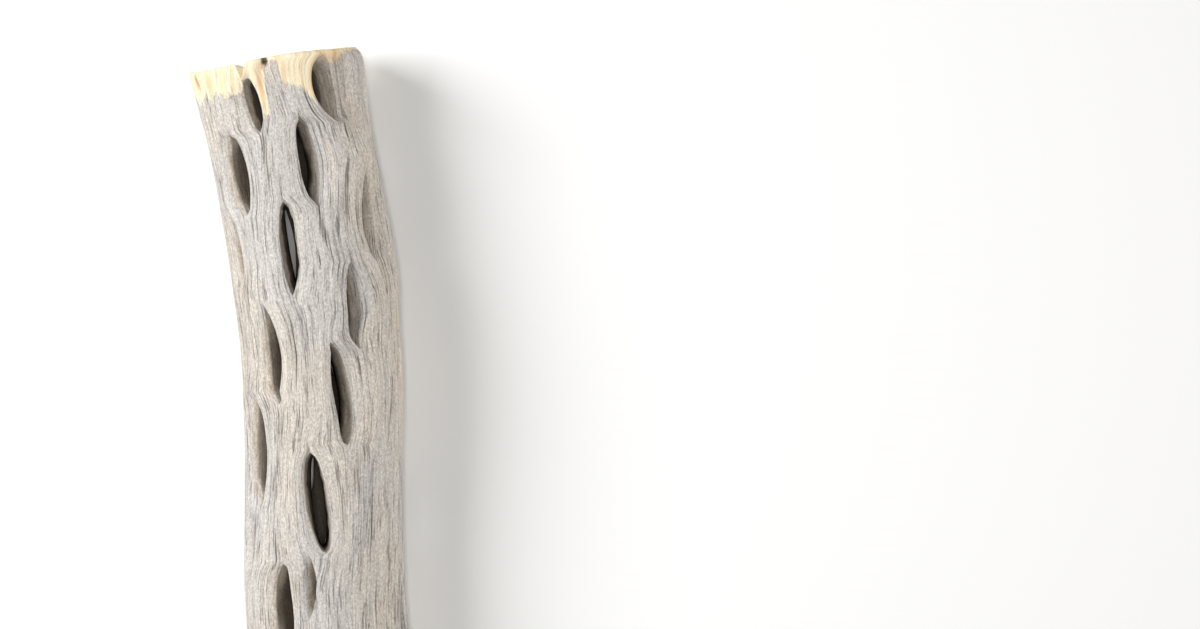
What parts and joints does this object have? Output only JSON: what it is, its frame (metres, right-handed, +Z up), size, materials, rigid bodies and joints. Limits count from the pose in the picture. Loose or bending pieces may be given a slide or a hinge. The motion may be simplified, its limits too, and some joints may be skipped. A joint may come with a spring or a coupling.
{
  "type": "cholla cactus skeleton",
  "caption": "Weathered hollow wooden stem of a dried cholla cactus, pierced by lens-shaped slots in spiral rows, lying on its side with one freshly cut end",
  "frame": {"origin": "middle of the bounding box on the surface the piece lies on, so z = 0 is the lowest point", "axes": "+Y along the stem towards the freshly cut end, +Z up, +X to the right when seen from above with the cut end away from the viewer"},
  "size_m": [0.0538, 0.208, 0.0481],
  "materials": {
    "weathered_wood": "weathered silver-grey, bare, with a tan fresh-cut end"
  },
  "bodies": {
    "root": {"cholla_skeleton": "weathered_wood"}
  },
  "joints": []
}
